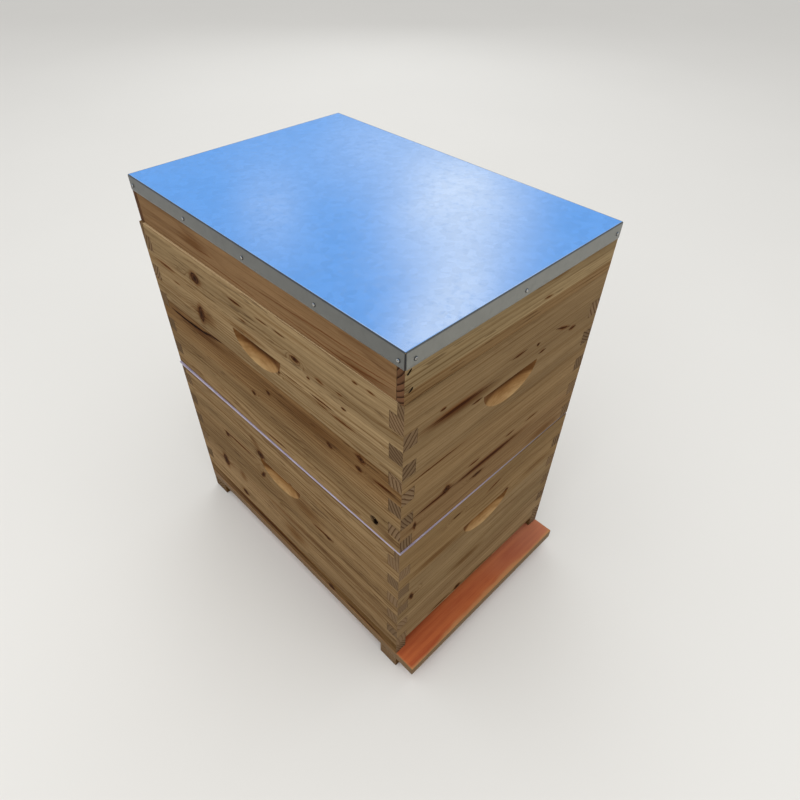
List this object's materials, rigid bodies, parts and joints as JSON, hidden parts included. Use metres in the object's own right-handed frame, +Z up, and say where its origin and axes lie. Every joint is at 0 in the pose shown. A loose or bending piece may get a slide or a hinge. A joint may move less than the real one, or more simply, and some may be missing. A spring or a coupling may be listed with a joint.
{
  "type": "beehive",
  "caption": "Two-box wooden beehive with finger-jointed boxes, lift-out frames, a queen excluder and a flat sheet-metal lid over a cleated floor with a landing board.",
  "frame": {"origin": "centre of the outer bounds on the ground plane the cleats stand on", "axes": "+Z up; -Y out of the entrance over the landing board; X across the hive's width, +X to the right seen from behind the hive looking out"},
  "size_m": [0.3604, 0.5429, 0.6226],
  "materials": {
    "box_wood": "bare pine, planed",
    "rim_wood": "bare pine, planed",
    "floor_wood": "bare pine",
    "floor_sheet": "orange-red faced plywood, bare edges",
    "frame_wood": "bare pine",
    "wax": "wax-coated embossed sheet",
    "excluder_plastic": "smooth moulded",
    "galvanised": "galvanised sheet"
  },
  "bodies": {
    "base": {"floor_board": "floor_sheet", "floor_cleat_front": "floor_wood", "floor_cleat_back": "floor_wood", "floor_rail_left": "floor_wood", "floor_rail_right": "floor_wood", "floor_rail_back": "floor_wood"},
    "brood_box": {"brood_side_left": "box_wood", "brood_side_right": "box_wood", "brood_end_front": "box_wood", "brood_end_back": "box_wood"},
    "excluder": {"queen_excluder": "excluder_plastic"},
    "honey_box": {"honey_side_left": "box_wood", "honey_side_right": "box_wood", "honey_end_front": "box_wood", "honey_end_back": "box_wood"},
    "lid": {"lid_metal_cover": "galvanised", "lid_top_panel": "rim_wood", "lid_rim_front": "rim_wood", "lid_rim_back": "rim_wood", "lid_rim_left": "rim_wood", "lid_rim_right": "rim_wood"},
    "brood_frame_body_1": {"brood_frame_1": "frame_wood", "brood_foundation_1": "wax"},
    "brood_frame_body_2": {"brood_frame_2": "frame_wood", "brood_foundation_2": "wax"},
    "brood_frame_body_3": {"brood_frame_3": "frame_wood", "brood_foundation_3": "wax"},
    "brood_frame_body_4": {"brood_frame_4": "frame_wood", "brood_foundation_4": "wax"},
    "brood_frame_body_5": {"brood_frame_5": "frame_wood", "brood_foundation_5": "wax"},
    "brood_frame_body_6": {"brood_frame_6": "frame_wood", "brood_foundation_6": "wax"},
    "brood_frame_body_7": {"brood_frame_7": "frame_wood", "brood_foundation_7": "wax"},
    "brood_frame_body_8": {"brood_frame_8": "frame_wood", "brood_foundation_8": "wax"},
    "honey_frame_body_1": {"honey_frame_1": "frame_wood", "honey_foundation_1": "wax"},
    "honey_frame_body_2": {"honey_frame_2": "frame_wood", "honey_foundation_2": "wax"},
    "honey_frame_body_3": {"honey_frame_3": "frame_wood", "honey_foundation_3": "wax"},
    "honey_frame_body_4": {"honey_frame_4": "frame_wood", "honey_foundation_4": "wax"},
    "honey_frame_body_5": {"honey_frame_5": "frame_wood", "honey_foundation_5": "wax"},
    "honey_frame_body_6": {"honey_frame_6": "frame_wood", "honey_foundation_6": "wax"},
    "honey_frame_body_7": {"honey_frame_7": "frame_wood", "honey_foundation_7": "wax"},
    "honey_frame_body_8": {"honey_frame_8": "frame_wood", "honey_foundation_8": "wax"}
  },
  "joints": [
    {"name": "brood_box_lift", "type": "slide", "parent": "base", "child": "brood_box", "axis": [0, 0, 1], "range_m": [0, 0.25]},
    {"name": "excluder_lift", "type": "slide", "parent": "brood_box", "child": "excluder", "axis": [0, 0, 1], "range_m": [0, 0.52]},
    {"name": "honey_box_lift", "type": "slide", "parent": "excluder", "child": "honey_box", "axis": [0, 0, 1], "range_m": [0, 0.25]},
    {"name": "lid_lift", "type": "slide", "parent": "honey_box", "child": "lid", "axis": [0, 0, 1], "range_m": [0, 0.52]},
    {"name": "brood_frame_1_lift", "type": "slide", "parent": "brood_box", "child": "brood_frame_body_1", "axis": [0, 0, 1], "range_m": [0, 0.26]},
    {"name": "brood_frame_2_lift", "type": "slide", "parent": "brood_box", "child": "brood_frame_body_2", "axis": [0, 0, 1], "range_m": [0, 0.26]},
    {"name": "brood_frame_3_lift", "type": "slide", "parent": "brood_box", "child": "brood_frame_body_3", "axis": [0, 0, 1], "range_m": [0, 0.26]},
    {"name": "brood_frame_4_lift", "type": "slide", "parent": "brood_box", "child": "brood_frame_body_4", "axis": [0, 0, 1], "range_m": [0, 0.26]},
    {"name": "brood_frame_5_lift", "type": "slide", "parent": "brood_box", "child": "brood_frame_body_5", "axis": [0, 0, 1], "range_m": [0, 0.26]},
    {"name": "brood_frame_6_lift", "type": "slide", "parent": "brood_box", "child": "brood_frame_body_6", "axis": [0, 0, 1], "range_m": [0, 0.26]},
    {"name": "brood_frame_7_lift", "type": "slide", "parent": "brood_box", "child": "brood_frame_body_7", "axis": [0, 0, 1], "range_m": [0, 0.26]},
    {"name": "brood_frame_8_lift", "type": "slide", "parent": "brood_box", "child": "brood_frame_body_8", "axis": [0, 0, 1], "range_m": [0, 0.26]},
    {"name": "honey_frame_1_lift", "type": "slide", "parent": "honey_box", "child": "honey_frame_body_1", "axis": [0, 0, 1], "range_m": [0, 0.26]},
    {"name": "honey_frame_2_lift", "type": "slide", "parent": "honey_box", "child": "honey_frame_body_2", "axis": [0, 0, 1], "range_m": [0, 0.26]},
    {"name": "honey_frame_3_lift", "type": "slide", "parent": "honey_box", "child": "honey_frame_body_3", "axis": [0, 0, 1], "range_m": [0, 0.26]},
    {"name": "honey_frame_4_lift", "type": "slide", "parent": "honey_box", "child": "honey_frame_body_4", "axis": [0, 0, 1], "range_m": [0, 0.26]},
    {"name": "honey_frame_5_lift", "type": "slide", "parent": "honey_box", "child": "honey_frame_body_5", "axis": [0, 0, 1], "range_m": [0, 0.26]},
    {"name": "honey_frame_6_lift", "type": "slide", "parent": "honey_box", "child": "honey_frame_body_6", "axis": [0, 0, 1], "range_m": [0, 0.26]},
    {"name": "honey_frame_7_lift", "type": "slide", "parent": "honey_box", "child": "honey_frame_body_7", "axis": [0, 0, 1], "range_m": [0, 0.26]},
    {"name": "honey_frame_8_lift", "type": "slide", "parent": "honey_box", "child": "honey_frame_body_8", "axis": [0, 0, 1], "range_m": [0, 0.26]}
  ],
  "couplings": [
    {"joint": "brood_frame_1_lift", "follows": "excluder_lift", "ratio": 0.5},
    {"joint": "brood_frame_2_lift", "follows": "excluder_lift", "ratio": 0.5},
    {"joint": "brood_frame_3_lift", "follows": "excluder_lift", "ratio": 0.5},
    {"joint": "brood_frame_4_lift", "follows": "excluder_lift", "ratio": 0.5},
    {"joint": "brood_frame_5_lift", "follows": "excluder_lift", "ratio": 0.5},
    {"joint": "brood_frame_6_lift", "follows": "excluder_lift", "ratio": 0.5},
    {"joint": "brood_frame_7_lift", "follows": "excluder_lift", "ratio": 0.5},
    {"joint": "brood_frame_8_lift", "follows": "excluder_lift", "ratio": 0.5},
    {"joint": "honey_frame_1_lift", "follows": "lid_lift", "ratio": 0.5},
    {"joint": "honey_frame_2_lift", "follows": "lid_lift", "ratio": 0.5},
    {"joint": "honey_frame_3_lift", "follows": "lid_lift", "ratio": 0.5},
    {"joint": "honey_frame_4_lift", "follows": "lid_lift", "ratio": 0.5},
    {"joint": "honey_frame_5_lift", "follows": "lid_lift", "ratio": 0.5},
    {"joint": "honey_frame_6_lift", "follows": "lid_lift", "ratio": 0.5},
    {"joint": "honey_frame_7_lift", "follows": "lid_lift", "ratio": 0.5},
    {"joint": "honey_frame_8_lift", "follows": "lid_lift", "ratio": 0.5}
  ]
}
